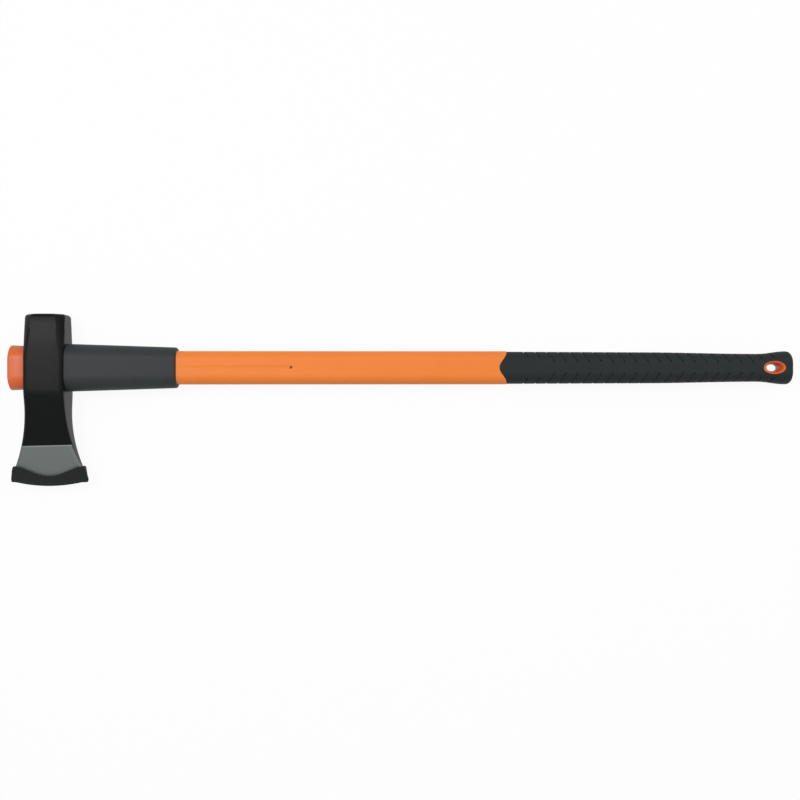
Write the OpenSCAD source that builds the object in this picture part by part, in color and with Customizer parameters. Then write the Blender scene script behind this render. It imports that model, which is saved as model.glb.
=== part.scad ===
// Splitting maul with a glass-fibre handle, lying on its cheek.
// Inside the modules X runs along the handle with 0 at the middle of the head, Y rises from the handle
// axis to the poll, and Z is the thickness with 0 at the mid plane. lying_down() then moves every piece
// so that the origin is at the middle of the underside of the whole maul.

/* [Overall] */
// From the end of the eye plug to the butt of the grip
overall_length = 895; // [820:5:980]
// Gap kept between pieces that are bonded or moulded on each other
fit_gap = 0.1; // [0.05:0.01:0.2]

/* [Head] */
// Length of the head along the handle, at the eye
head_width = 45.4; // [42:0.2:50]
// Thickness of the head from cheek to cheek
head_thickness = 48; // [46:0.5:54]
// From the handle axis up to the striking face
poll_height = 61; // [50:1:75]
// Thickness of the head at the striking face
poll_thickness = 44; // [40:0.5:48]
// Width of the corner bevels at the striking face
poll_bevel = 9; // [5:0.5:10]
// Radius of the rim of the striking face
poll_rim = 4; // [2:0.5:6]
// Width of the edge bevels beside the eye and down the bit
side_bevel = 2.6; // [1.5:0.1:4]
// From the handle axis down to where the wedge starts
wedge_start = 24; // [20:1:34]
// Length over which the cheek bends into the wedge
wedge_bend = 12; // [6:1:20]

/* [Bit] */
// From the handle axis down to the lowest point of the cutting edge
edge_drop = 131.5; // [125:0.5:150]
// From the handle axis down to the narrowest place of the head
waist_drop = 42; // [36:1:50]
// Half width of the waist on the toe side
toe_waist = 22.3; // [20:0.1:24]
// Half width of the waist on the heel side
heel_waist = 23.1; // [20:0.1:24]
// Reach of the toe of the bit from the middle of the head
toe_reach = 38.3; // [34:0.1:44]
// Reach of the heel of the bit from the middle of the head
heel_reach = 41.4; // [36:0.1:46]
// Height of the straight ends of the bit above the cutting edge
end_height = 15; // [11:0.5:18]
// Radius of the cutting edge, seen from the side
edge_radius = 170; // [130:5:260]
// Radius of the corners of the cutting edge
corner_radius = 5; // [2:0.5:8]
// Thickness that is left at the cutting edge
edge_land = 0.7; // [0.4:0.1:1.2]

/* [Eye] */
// Height of the oval eye
eye_height = 51; // [46:0.5:54]
// Width of the oval eye, across the thickness of the head
eye_thickness = 35; // [32:0.5:37]
// Thickness of the resin between handle and eye
resin_line = 1; // [0.6:0.1:1.5]
// How far the resin and the jacket stop inside the toe side of the eye
eye_recess = 2; // [1:0.5:4]

/* [Eye plug] */
// How far the plug stands out of the head
plug_length = 21.6; // [14:0.2:28]
// Height of the plug at its outer end
plug_height = 51.5; // [50:0.1:54]
// Thickness of the plug at its outer end
plug_thickness = 35.5; // [33:0.1:40]
// Depth of the domed end of the plug
plug_dome = 4.3; // [2:0.1:7]
// Length of the glass-fibre rod that sits in the plug
core_in_plug = 12; // [6:1:13]

/* [Handle] */
// Diameter of the glass-fibre core
core_d = 18; // [14:0.5:19]
// Height of the jacket where it leaves the collar
jacket_height = 38.4; // [36:0.2:42]
// Thickness of the jacket where it leaves the collar
jacket_thickness = 29.5; // [27:0.1:32]
// Height of the jacket where it meets the grip
jacket_end_height = 37.8; // [36.6:0.2:41]
// Thickness of the jacket where it meets the grip
jacket_end_thickness = 29; // [27:0.1:32]
// Length of the taper of the jacket behind the eye
neck_taper = 30; // [20:1:50]
// From the middle of the head to the locating hole in the jacket
locator_x = 279.6; // [200:1:400]
// Diameter of the locating hole, which a pin of the mould left
locator_d = 2.6; // [1.5:0.1:4]
// Diameter of the dimple round the locating hole
locator_dimple_d = 4.6; // [4.2:0.1:7]

/* [Strike collar] */
// Length of the collar
collar_length = 126; // [100:1:150]
// Height of the collar at the head
collar_height = 54.7; // [52:0.1:58]
// Thickness of the collar at the head
collar_thickness = 40; // [37:0.5:44]
// Height of the collar at its end
collar_end_height = 46.7; // [44:0.1:50]
// Thickness of the collar at its end
collar_end_thickness = 35; // [33:0.5:39]
// Radius of the rounded end of the collar
collar_round = 3; // [1:0.5:4]

/* [Hand grip] */
// Length of the grip along its edges
grip_length = 325.6; // [260:0.2:360]
// Wall of the grip over the jacket
grip_wall = 2.5; // [2:0.1:3]
// How far the front of the grip reaches forward along the middle
grip_tongue = 8.5; // [4:0.5:14]
// Height of the grip at its front
grip_height = 36.8; // [35:0.2:39]
// Thickness of the grip at its front
grip_thickness = 28.4; // [27:0.2:31]
// Height of the grip at the end of its straight run
grip_mid_height = 35.5; // [34:0.1:38]
// From the butt to the end of the straight run
grip_mid_from_butt = 170.6; // [120:0.2:200]
// Height of the neck in front of the butt
grip_neck_height = 31.9; // [30:0.1:34]
// Thickness of the neck in front of the butt
grip_neck_thickness = 27.6; // [27:0.1:30]
// From the butt to the neck
grip_neck_from_butt = 38.1; // [36:0.1:60]
// Height of the flared butt
butt_height = 37.8; // [36:0.2:44]
// Thickness of the flared butt
butt_thickness = 33; // [31:0.2:38]
// Depth of the rounded end of the butt
butt_round = 6.5; // [4:0.5:8]
// Wall of the grip over the butt end of the jacket
butt_wall = 4; // [3:0.5:6]

/* [Grip grooves] */
// Number of grooves along each edge of the grip
groove_count = 22; // [10:1:22]
// Distance from groove to groove
groove_pitch = 13.3; // [11:0.1:13.4]
// From the front edge of the grip to the inner end of the first groove
groove_start = 28; // [20:1:30]
// Width of a groove
groove_width = 1.5; // [1:0.1:2.5]
// Depth of a groove
groove_depth = 0.9; // [0.5:0.1:1.2]
// Angle of the grooves from the handle axis
groove_angle = 56; // [45:1:75]
// Height of the plain band between the two rows of grooves
groove_band = 11.4; // [8:0.2:16]

/* [Hanging hole] */
// From the butt to the middle of the hanging hole
hole_from_butt = 21.8; // [21:0.1:27]
// Length of the flared mouth of the hole
mouth_length = 24; // [20:0.5:26]
// Height of the flared mouth of the hole
mouth_height = 14.5; // [12:0.5:16]
// Length of the throat of the hole
throat_length = 13; // [10:0.5:16]
// Height of the throat of the hole
throat_height = 8; // [6:0.5:10]
// Wall of the eyelet round its mouth
eyelet_wall = 0.9; // [0.6:0.1:1.2]
// How far the eyelet lies below the faces of the grip
eyelet_sink = 0.3; // [0.1:0.1:0.6]
// From the end of the glass-fibre core to the eyelet
core_stop = 8; // [5:1:20]

/* [Blade guard] */
// Clearance between the bit and the guard
guard_gap = 0.4; // [0.2:0.1:0.8]
// Wall of the guard over the cheeks of the bit
guard_wall = 2.8; // [2:0.1:4]
// Wall of the guard under the cutting edge
guard_floor = 3.5; // [2.5:0.1:6]
// How far the lower corners of the guard are rounded off
guard_corner = 1.2; // [0.6:0.1:2]
// Wall of the guard at the toe
guard_toe_wall = 3.5; // [2.5:0.1:5]
// Wall of the guard at the heel
guard_heel_wall = 4.3; // [2.5:0.1:6]
// Wall at both ends of the guard, up at its lip
guard_lip_wall = 1; // [0.8:0.1:2.4]
// Height of the lip of the guard above the cutting edge, at both ends
lip_height = 19.2; // [16.5:0.1:20]
// Height of the lip of the guard above the cutting edge, at the middle
lip_dip_height = 7.5; // [5:0.5:14]

/* [Hidden] */

// Corners of a handle section, and how square a section is: 2 is an ellipse
sides = 32;
squareness = 2.5;
// Points across each cheek of the head
cheek_points = 10;
// A cut runs this far past what it cuts
past = 40;

// Faces and ends along the handle
head_face = head_width / 2;
plug_end = -head_face - plug_length;
butt = overall_length + plug_end;
eye_stop = -head_face + eye_recess;
grip_front = butt - grip_length;
grip_tip = grip_front - grip_tongue;
collar_end = head_face + fit_gap + collar_length;
hole_x = butt - hole_from_butt;
core_start = -head_face - core_in_plug;
core_end = hole_x - mouth_length / 2 - eyelet_wall - core_stop;
jacket_end = butt - butt_wall;

// Section of the handle where it fills the eye
eye_fill_height = eye_height - 2 * resin_line;
eye_fill_thickness = eye_thickness - 2 * resin_line;

// Half thickness of the head, and the slope of the wedge that takes it down to the cutting edge
half_head = head_thickness / 2;
wedge_slope = (half_head - edge_land / 2) / (edge_drop - wedge_start - wedge_bend / 2);
// Where the flare of the bit ends, and the middle of the cutting edge
flare_drop = edge_drop - end_height;
edge_x = (heel_reach - toe_reach) / 2;
// Where the lip of the guard is highest, and the lowest point of the guard
lip_drop = edge_drop - lip_height;
guard_bottom = edge_drop + guard_gap + guard_floor;

function mix(a, b, t) = a + (b - a) * t;
function clamp01(t) = max(0, min(1, t));
// Smooth step from 0 to 1
function ease(t) = (1 - cos(180 * clamp01(t))) / 2;
// Bell curve, 1 at the middle and 0 at both ends
function bell(s, power) = pow(cos(90 * min(1, abs(s))), power);

// ---- Shapes of the handle: lofts of rounded sections along X ----

// Rounded section of a given height and thickness
function section(x, height, thickness) = [for (i = [0 : sides - 1])
    let (a = 360 * i / sides, c = cos(a), s = sin(a))
    [x, height / 2 * sign(c) * pow(abs(c), 2 / squareness),
        thickness / 2 * sign(s) * pow(abs(s), 2 / squareness)]];

// Solid through a list of [x, height, thickness], with x rising and every section grown all round
module loft(stations, grow = 0) {
    last = len(stations) - 1;
    points = [for (s = stations) each section(s[0], s[1] + 2 * grow, s[2] + 2 * grow)];
    walls = [for (k = [0 : last - 1], i = [0 : sides - 1]) let (j = (i + 1) % sides)
        [k * sides + j, k * sides + i, (k + 1) * sides + i, (k + 1) * sides + j]];
    polyhedron(points, concat([[for (i = [0 : sides - 1]) i]], walls,
        [[for (i = [sides - 1 : -1 : 0]) last * sides + i]]), convexity = 6);
}

// Stations of a rounded end: direction is 1 where the handle ends at a high x and -1 at a low x
function rounded_end(x, height, thickness, depth, shrink, direction) =
    [for (a = direction > 0 ? [0 : 22.5 : 90] : [90 : -22.5 : 0])
        let (k = 1 - shrink * (1 - cos(a)))
        [x - direction * depth * (1 - sin(a)), height * k, thickness * k]];

jacket_stations = [
    [eye_stop, eye_fill_height, eye_fill_thickness],
    [head_face, eye_fill_height, eye_fill_thickness],
    [head_face + neck_taper, jacket_height, jacket_thickness],
    [grip_front + fit_gap, jacket_end_height, jacket_end_thickness]];

plug_stations = concat(
    rounded_end(plug_end, plug_height, plug_thickness, plug_dome, 0.85, -1),
    [[eye_stop - fit_gap, eye_fill_height, eye_fill_thickness]]);

collar_stations = concat(
    [[head_face + fit_gap, collar_height, collar_thickness]],
    rounded_end(collar_end, collar_end_height, collar_end_thickness, collar_round,
        2 * collar_round / collar_end_height, 1));

// The grip runs straight, eases down to its neck and flares out to the butt
grip_mid = butt - grip_mid_from_butt;
grip_neck = butt - grip_neck_from_butt;
grip_stations = concat(
    [[grip_tip, grip_height, grip_thickness]],
    [for (i = [0 : 6]) let (t = i / 6)
        [mix(grip_mid, grip_neck, t), mix(grip_mid_height, grip_neck_height, ease(t)),
         mix(grip_thickness, grip_neck_thickness, ease(t))]],
    [for (i = [1 : 4]) let (t = i / 5)
        [mix(grip_neck, butt - butt_round, t), mix(grip_neck_height, butt_height, ease(t)),
         mix(grip_neck_thickness, butt_thickness, ease(t))]],
    rounded_end(butt, butt_height, butt_thickness, butt_round, 0.42, 1));

// The jacket under the grip follows it and stops short of the butt
under_grip_stations = concat(
    [for (s = grip_stations) if (s[0] < jacket_end - butt_round) s],
    rounded_end(jacket_end, butt_height, butt_thickness, butt_round, 0.42, 1));

// Plan of all that lies behind the tongued joint between jacket and grip
module behind_joint(shift) {
    half = grip_height / 2;
    front = [for (i = [-12 : 12]) let (y = half * i / 12)
        [grip_front + shift - grip_tongue * bell(i / 12, 2), y]];
    translate([0, 0, -past])
        linear_extrude(2 * past)
            polygon(concat([[butt + past, -past], [butt + past, past],
                [grip_front + shift, past]], [for (i = [24 : -1 : 0]) front[i]],
                [[grip_front + shift, -past]]));
}

// ---- Shapes of the head: lofts of eight-sided sections down Y ----

// Reach of one end of the bit at a drop below the handle axis
function flare(drop, waist, reach) =
    let (fall = flare_drop - waist_drop, out = reach - waist,
         radius = (fall * fall + out * out) / (2 * out), d = drop - waist_drop,
         straight = edge_drop - corner_radius)
    drop <= wedge_start ? head_face
    : drop <= waist_drop ? mix(head_face, waist, (drop - wedge_start) / (waist_drop - wedge_start))
    : drop <= flare_drop ? waist + radius - sqrt(radius * radius - d * d)
    : reach - corner_inset(drop - straight);

// How far a rounded corner of the cutting edge has come in at a depth below its start
function corner_inset(depth) =
    depth <= 0 ? 0 : corner_radius - sqrt(max(0, pow(corner_radius, 2) - depth * depth));

// Half thickness of the head at a drop below the handle axis, or above it where that is negative
function cheek(drop) =
    let (d = drop - wedge_start, rise = (-drop - wedge_start) / (poll_height - wedge_start))
    rise > 0 ? mix(half_head, poll_thickness / 2, rise * rise)
    : d <= 0 ? half_head
    : d < wedge_bend ? half_head - wedge_slope * d * d / (2 * wedge_bend)
    : half_head - wedge_slope * (d - wedge_bend / 2);

// How much of the curve of the cutting edge a section follows
function edge_follow(drop) = clamp01((drop - lip_drop) / lip_height);
function edge_rise(x) = edge_radius - sqrt(edge_radius * edge_radius - pow(x - edge_x, 2));

// Points round one section of the head: both cheeks, with a bevel at each corner
function head_section(drop, toe, heel, half, bevel) =
    let (across = min(bevel, 0.6 * half), follow = edge_follow(drop), last = cheek_points - 1,
         xs = [for (i = [0 : last]) mix(-toe + across, heel - across, i / last)],
         side = half - across)
    [for (p = concat(
        [for (x = xs) [x, half]], [[heel, side], [heel, -side]],
        [for (i = [last : -1 : 0]) [xs[i], -half]], [[-toe, -side], [-toe, side]]))
        [p[0], -drop + follow * edge_rise(p[0]), p[1]]];

// Solid through a list of [drop, toe, heel, half thickness, bevel], from the top down
module head_loft(stations) {
    ring = 2 * cheek_points + 4;
    last = len(stations) - 1;
    low = last * ring;
    points = [for (s = stations) each head_section(s[0], s[1], s[2], s[3], s[4])];
    walls = [for (k = [0 : last - 1], i = [0 : ring - 1]) let (j = (i + 1) % ring)
        [k * ring + i, k * ring + j, (k + 1) * ring + j, (k + 1) * ring + i]];
    // The lowest face bends with the cutting edge, so it is closed in strips from cheek to cheek
    sole = concat(
        [for (i = [0 : cheek_points - 2])
            [low + i, low + i + 1, low + ring - 4 - i, low + ring - 3 - i]],
        [[low + cheek_points - 1, low + cheek_points, low + cheek_points + 1, low + cheek_points + 2],
         [low, low + ring - 3, low + ring - 2, low + ring - 1]]);
    polyhedron(points, concat([[for (i = [ring - 1 : -1 : 0]) i]], walls, sole), convexity = 6);
}

// Width of the corner bevel, which fades from the poll to the eye
function bevel_at(drop) = mix(side_bevel, poll_bevel, clamp01((-drop - wedge_start / 2)
    / (poll_height - wedge_start / 2)));

rim_stations = [for (a = [0 : 22.5 : 67.5])
    let (inset = poll_rim * (1 - sin(a)), drop = -poll_height + poll_rim * (1 - cos(a)))
    [drop, head_face - inset, head_face - inset, cheek(drop) - inset, bevel_at(drop)]];
// Drops of the sections below the rim of the poll
head_drops = concat(
    [for (i = [0 : 6]) mix(-poll_height + poll_rim, -wedge_start / 2, i / 6)],
    [wedge_start],
    [for (i = [1 : 4]) wedge_start + wedge_bend * i / 4],
    [for (i = [0 : 12]) mix(waist_drop, flare_drop, i / 12)],
    [for (a = [0 : 18 : 90]) edge_drop - corner_radius * (1 - sin(a))]);
head_stations = concat(rim_stations, [for (drop = head_drops)
    [drop, flare(drop, toe_waist, toe_reach), flare(drop, heel_waist, heel_reach),
     cheek(drop), bevel_at(drop)]]);

// The pocket of the guard has straight ends, so that the guard pulls off the flared bit
pocket_stations = concat(
    [for (i = [0 : 3]) let (drop = mix(lip_drop - 2, edge_drop - corner_radius, i / 3))
        [drop, toe_reach + guard_gap, heel_reach + guard_gap, cheek(drop) + guard_gap, side_bevel]],
    [for (a = [18 : 18 : 90])
        let (drop = edge_drop - corner_radius * (1 - sin(a)), inset = corner_inset(corner_radius * sin(a)))
        [drop + guard_gap * sin(a), toe_reach + guard_gap - inset, heel_reach + guard_gap - inset,
         cheek(drop) + guard_gap, side_bevel]]);

function guard_end(drop, wall, reach) =
    reach + guard_gap + mix(guard_lip_wall, wall, sqrt(clamp01((drop - lip_drop) / lip_height)));
function guard_half(drop) = cheek(min(drop, edge_drop)) + guard_gap + guard_wall;
guard_stations = concat(
    [for (i = [0 : 6]) let (drop = mix(lip_drop, edge_drop, i / 6))
        [drop, guard_end(drop, guard_toe_wall, toe_reach),
         guard_end(drop, guard_heel_wall, heel_reach), guard_half(drop), 2 * side_bevel]],
    [for (a = [15 : 15 : 75])
        let (depth = guard_bottom - edge_drop, inset = guard_corner * (1 - cos(a)))
        [edge_drop + depth * sin(a), guard_end(edge_drop, guard_toe_wall, toe_reach) - inset,
         guard_end(edge_drop, guard_heel_wall, heel_reach) - inset, guard_half(edge_drop) - inset,
         2 * side_bevel]],
    [[guard_bottom, guard_end(edge_drop, guard_toe_wall, toe_reach) - 2 * guard_corner,
      guard_end(edge_drop, guard_heel_wall, heel_reach) - 2 * guard_corner,
      guard_half(edge_drop) - guard_wall, side_bevel]]);

// Plan of all that lies above the lip of the guard, which dips in the middle
module above_lip() {
    half = (guard_end(lip_drop, 0, toe_reach) + guard_end(lip_drop, 0, heel_reach)) / 2;
    lip = [for (i = [-12 : 12])
        [edge_x + half * i / 12, -lip_drop - (lip_height - lip_dip_height) * bell(i / 12, 1.5)]];
    translate([0, 0, -past])
        linear_extrude(2 * past)
            polygon(concat([[edge_x - half - past, -lip_drop]], lip,
                [[edge_x + half + past, -lip_drop], [edge_x + half + past, past - lip_drop],
                 [edge_x - half - past, past - lip_drop]]));
}

// ---- Ovals ----

// Rod along X with the oval section of the eye
module eye_oval(x0, x1, height, thickness) {
    straight = height - thickness;
    translate([x0, 0, 0])
        rotate([90, 0, 90])
            linear_extrude(x1 - x0) {
                square([straight, thickness], center = true);
                for (side = [-1, 1])
                    translate([side * straight / 2, 0])
                        circle(d = thickness, $fn = 64);
            }
}

// Point on an ellipse round the hanging hole
function hole_point(length, height, a) = [hole_x + length / 2 * cos(a), height / 2 * sin(a)];

// Height over the mid plane of the face of the flared butt, less the depth of the eyelet below it
function butt_face(x, y) =
    let (t = ease((x - grip_neck) / (butt - butt_round - grip_neck)),
         height = mix(grip_neck_height, butt_height, t),
         thickness = mix(grip_neck_thickness, butt_thickness, t))
    thickness / 2 * pow(1 - pow(abs(y) / (height / 2), squareness), 1 / squareness) - eyelet_sink;

// Straight oval hole or plug through the butt, a given wall wider than the mouth
module hole_oval(wall) {
    translate([0, 0, -past])
        linear_extrude(2 * past)
            polygon([for (i = [0 : sides - 1])
                hole_point(mouth_length + 2 * wall, mouth_height + 2 * wall, 360 * i / sides)]);
}

// The hole in the eyelet: a throat at the mid plane that flares to a mouth at either face
module flared_hole() {
    function ring(t, level, overshoot) = [for (i = [0 : sides - 1])
        let (p = hole_point(mix(throat_length, mouth_length, t), mix(throat_height, mouth_height, t),
            360 * i / sides))
        [p[0], p[1], level * butt_face(p[0], p[1]) + overshoot]];
    points = concat(ring(1, -1, -past), [for (a = [-90 : 15 : 90]) each ring(1 - cos(a), sin(a), 0)],
        ring(1, 1, past));
    last = len(points) / sides - 1;
    walls = [for (k = [0 : last - 1], i = [0 : sides - 1]) let (j = (i + 1) % sides)
        [k * sides + j, k * sides + i, (k + 1) * sides + i, (k + 1) * sides + j]];
    polyhedron(points, concat([[for (i = [0 : sides - 1]) i]], walls,
        [[for (i = [sides - 1 : -1 : 0]) last * sides + i]]), convexity = 6);
}

// ---- The pieces ----

// Forged steel head with its oval eye
module maul_head() {
    color("dimgray")
        difference() {
            head_loft(head_stations);
            eye_oval(-head_face - past, head_face + past, eye_height, eye_thickness);
        }
}

// Orange plug over the end of the core, domed outside
module eye_plug() {
    color("orangered")
        difference() {
            loft(plug_stations);
            translate([core_start - fit_gap, 0, 0])
                rotate([0, 90, 0])
                    cylinder(d = core_d + 2 * fit_gap, h = past, $fn = 64);
        }
}

// Resin in the eye, round the jacket
module eye_resin() {
    color("khaki")
        difference() {
            eye_oval(eye_stop, head_face - fit_gap, eye_height - 2 * fit_gap,
                eye_thickness - 2 * fit_gap);
            loft([[eye_stop - past, eye_fill_height, eye_fill_thickness],
                  [head_face + past, eye_fill_height, eye_fill_thickness]], fit_gap);
        }
}

// Pultruded rod from the plug to the hanging hole
module glass_fibre_core() {
    color("ivory")
        translate([core_start, 0, 0])
            rotate([0, 90, 0])
                cylinder(d = core_d, h = core_end - core_start, $fn = 64);
}

// Orange jacket from the eye to the butt, thinner where the grip lies over it
module handle_jacket() {
    color("darkorange")
        difference() {
            union() {
                difference() {
                    loft(jacket_stations);
                    behind_joint(-fit_gap);
                }
                loft(under_grip_stations, -grip_wall);
            }
            translate([eye_stop - past, 0, 0])
                rotate([0, 90, 0])
                    cylinder(d = core_d + 2 * fit_gap, h = core_end + fit_gap - eye_stop + past,
                        $fn = 64);
            hole_oval(eyelet_wall + fit_gap);
            locating_holes();
        }
}

// Dimpled holes that the pins of the mould left in both faces of the jacket
module locating_holes() {
    face = jacket_thickness / 2;
    for (turn = [0, 180])
        translate([locator_x, 0, 0])
            rotate([turn, 0, 0]) {
                cylinder(d = locator_d, h = past, $fn = 24);
                translate([0, 0, face - 1])
                    cylinder(d1 = locator_d, d2 = locator_dimple_d, h = 1, $fn = 24);
            }
}

// Rubber sleeve that tapers away from the head
module strike_collar() {
    color("darkslategray")
        difference() {
            loft(collar_stations);
            loft(jacket_stations, fit_gap);
        }
}

// Slanting cuts from the plain band out over both edges of the grip
module groove_cuts() {
    for (i = [0 : groove_count - 1], edge = [-1, 1])
        translate([grip_front + groove_start + i * groove_pitch, edge * groove_band / 2, 0])
            rotate([0, 0, edge * (180 - groove_angle)])
                translate([0, -groove_width / 2, -past])
                    cube([past, groove_width, 2 * past]);
}

// Soft grip over the jacket, with grooved edges and a flared butt
module hand_grip() {
    color("darkslategray")
        difference() {
            union() {
                loft(grip_stations, -groove_depth);
                difference() {
                    loft(grip_stations);
                    groove_cuts();
                }
            }
            difference() {
                translate([grip_tip - past, -past, -past])
                    cube([grip_tongue + 2 * past, 2 * past, 2 * past]);
                behind_joint(0);
            }
            loft(under_grip_stations, -grip_wall + fit_gap);
            hole_oval(eyelet_wall + fit_gap);
        }
}

// Flared lining of the hanging hole
module hanging_eyelet() {
    color("orangered")
        difference() {
            intersection() {
                loft(grip_stations, -eyelet_sink);
                hole_oval(eyelet_wall);
            }
            flared_hole();
        }
}

// Slip-on cover of the cutting edge
module blade_guard() {
    color("darkslategray")
        difference() {
            head_loft(guard_stations);
            head_loft(pocket_stations);
            above_lip();
        }
}

// Puts the origin at the middle of the underside of the maul, which lies on its cheek
module lying_down() {
    translate([-(plug_end + butt) / 2, (guard_bottom - poll_height) / 2, half_head])
        children();
}

lying_down() maul_head();
lying_down() eye_plug();
lying_down() eye_resin();
lying_down() glass_fibre_core();
lying_down() handle_jacket();
lying_down() strike_collar();
lying_down() hand_grip();
lying_down() hanging_eyelet();
lying_down() blade_guard();
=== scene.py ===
import math

import bmesh
import bpy
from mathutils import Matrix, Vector


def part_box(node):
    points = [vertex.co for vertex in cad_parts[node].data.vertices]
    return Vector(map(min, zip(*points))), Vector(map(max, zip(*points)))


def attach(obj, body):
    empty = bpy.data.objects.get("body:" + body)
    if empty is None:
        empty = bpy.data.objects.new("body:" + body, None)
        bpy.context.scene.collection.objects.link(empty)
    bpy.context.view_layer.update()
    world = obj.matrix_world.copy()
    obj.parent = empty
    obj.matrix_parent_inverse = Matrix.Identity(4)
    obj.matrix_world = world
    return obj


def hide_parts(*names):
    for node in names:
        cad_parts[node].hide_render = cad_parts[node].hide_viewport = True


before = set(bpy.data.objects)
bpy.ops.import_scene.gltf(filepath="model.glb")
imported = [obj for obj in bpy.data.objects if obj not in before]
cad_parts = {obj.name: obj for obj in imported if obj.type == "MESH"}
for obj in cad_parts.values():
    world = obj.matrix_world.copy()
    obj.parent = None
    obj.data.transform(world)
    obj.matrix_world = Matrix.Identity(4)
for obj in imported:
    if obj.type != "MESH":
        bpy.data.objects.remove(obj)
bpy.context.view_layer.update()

bpy.ops.object.select_all(action="DESELECT")

# ---- Head ----
# The head of a splitting maul: one drop forging in carbon steel, with the poll, the eye, the wedge and the
# flared bit in one piece. It is shot-blasted and stove-painted satin black, then the cheeks of the bit are
# ground bare.

MM = 0.001
core_low, core_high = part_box("glass_fibre_core")
head_low, head_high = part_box("maul_head")
TOE_REACH, HEEL_REACH = 38.3, 41.4
# Every length below is in mm, measured from the middle of the eye
core_middle = (core_low + core_high) / 2
middle = Vector((head_high.x - HEEL_REACH * MM, core_middle.y, core_middle.z))

HEAD_FACE = 22.7
HALF_HEAD = 24
POLL = (head_high.y - middle.y) / MM
HALF_POLL = 22
POLL_RIM = 4
EDGE_DROP = (middle.y - head_low.y) / MM
WEDGE_START, WEDGE_BEND, WEDGE_SLOPE = 24, 12, 0.233
WAIST_DROP, TOE_WAIST, HEEL_WAIST = 42, 22.3, 23.1
FLARE_DROP = EDGE_DROP - 15
EDGE_CORNER, EDGE_RADIUS = 5, 170
SIDE_BEVEL, POLL_BEVEL = 2.6, 9
EYE_HEIGHT, EYE_THICKNESS = 51, 35


def block(name, x, y, z):
    """Adds a block that fills the given spans and opens it for editing."""
    spans = (x, y, z)
    bpy.ops.mesh.primitive_cube_add(
        size=MM, scale=[high - low for low, high in spans],
        location=[m + (low + high) / 2 * MM for m, (low, high) in zip(middle, spans)])
    bpy.ops.object.transform_apply()
    piece = bpy.context.object
    piece.name = piece.data.name = name
    bpy.ops.object.mode_set(mode="EDIT")
    return piece


def pick(test):
    """Selects the points whose place passes a test, with the edges and faces between them."""
    bpy.ops.mesh.select_mode(type="VERT")
    bpy.ops.mesh.select_all(action="DESELECT")
    mesh = bmesh.from_edit_mesh(bpy.context.object.data)
    for point in mesh.verts:
        point.select_set(bool(test(*((point.co - middle) / MM))))
    mesh.select_flush_mode()
    bmesh.update_edit_mesh(bpy.context.object.data)


def pick_edges(axis, test=lambda x, y, z: True):
    """Selects the edges that run along an axis, 0 to 2, and whose middle passes a test."""
    bpy.ops.mesh.select_mode(type="EDGE")
    bpy.ops.mesh.select_all(action="DESELECT")
    mesh = bmesh.from_edit_mesh(bpy.context.object.data)
    for edge in mesh.edges:
        first, second = edge.verts
        along = (second.co - first.co).normalized()
        if abs(along[axis]) > 0.999 and test(*(((first.co + second.co) / 2 - middle) / MM)):
            edge.select_set(True)
    mesh.select_flush_mode()
    bmesh.update_edit_mesh(bpy.context.object.data)


def span(node, axis):
    """Where a solid of the frame begins and ends along an axis, 0 to 2."""
    return [(corner[axis] - middle[axis]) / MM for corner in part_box(node)]


def fit(x=None, y=None, z=None):
    """Stretches and moves the selected points until they fill the given spans."""
    mesh = bmesh.from_edit_mesh(bpy.context.object.data)
    points = [point.co.copy() for point in mesh.verts if point.select]
    scale, centre, shift = [1, 1, 1], [0, 0, 0], [0, 0, 0]
    for axis, wanted in enumerate((x, y, z)):
        low, high = min(p[axis] for p in points), max(p[axis] for p in points)
        centre[axis] = (low + high) / 2
        if wanted:
            shift[axis] = middle[axis] + sum(wanted) / 2 * MM - centre[axis]
            if high - low > 0.001 * MM:
                scale[axis] = (wanted[1] - wanted[0]) * MM / (high - low)
    bpy.ops.transform.resize(value=scale, center_override=centre)
    bpy.ops.transform.translate(value=shift)


def draw(x=None, y=None, z=None):
    """Extrudes what is selected and fits its new end to the given spans."""
    bpy.ops.mesh.extrude_region_move()
    fit(x, y, z)


def reshape(piece, place):
    """Moves every point of a finished mesh to where place(x, y, z) puts it."""
    for point in piece.data.vertices:
        point.co = middle + Vector(place(*((point.co - middle) / MM))) * MM


def finish(piece, body, slot, material, *nodes, sharp=35):
    """Turns the faces outwards, shades the piece and puts it in the place of its solids."""
    bpy.ops.object.mode_set(mode="EDIT")
    bpy.ops.mesh.select_all(action="SELECT")
    bpy.ops.mesh.remove_doubles(threshold=0.002 * MM)
    bpy.ops.mesh.normals_make_consistent(inside=False)
    bpy.ops.object.mode_set(mode="OBJECT")
    bpy.ops.object.shade_smooth_by_angle(angle=math.radians(sharp))
    piece.data.materials.append(material)
    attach(piece, body)
    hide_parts(*nodes)
    piece.select_set(False)


def cut(piece, cutter, operation="DIFFERENCE"):
    """Cuts one mesh with another and throws the cutter away."""
    bpy.ops.object.mode_set(mode="OBJECT")
    bpy.context.view_layer.objects.active = piece
    boolean = piece.modifiers.new("Cut", "BOOLEAN")
    boolean.object, boolean.operation, boolean.solver = cutter, operation, "EXACT"
    bpy.ops.object.modifier_apply(modifier=boolean.name)
    bpy.data.objects.remove(cutter)
    piece.select_set(True)


def mix(a, b, t):
    return a + (b - a) * t


def clamp(t):
    return max(0, min(1, t))


def cheek(drop):
    """Half thickness of the head at a drop below the handle axis."""
    below, rise = drop - WEDGE_START, (-drop - WEDGE_START) / (POLL - WEDGE_START)
    if rise > 0:
        return mix(HALF_HEAD, HALF_POLL, rise * rise)
    if below < WEDGE_BEND:
        return HALF_HEAD - WEDGE_SLOPE * max(0, below) ** 2 / (2 * WEDGE_BEND)
    return HALF_HEAD - WEDGE_SLOPE * (below - WEDGE_BEND / 2)


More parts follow.
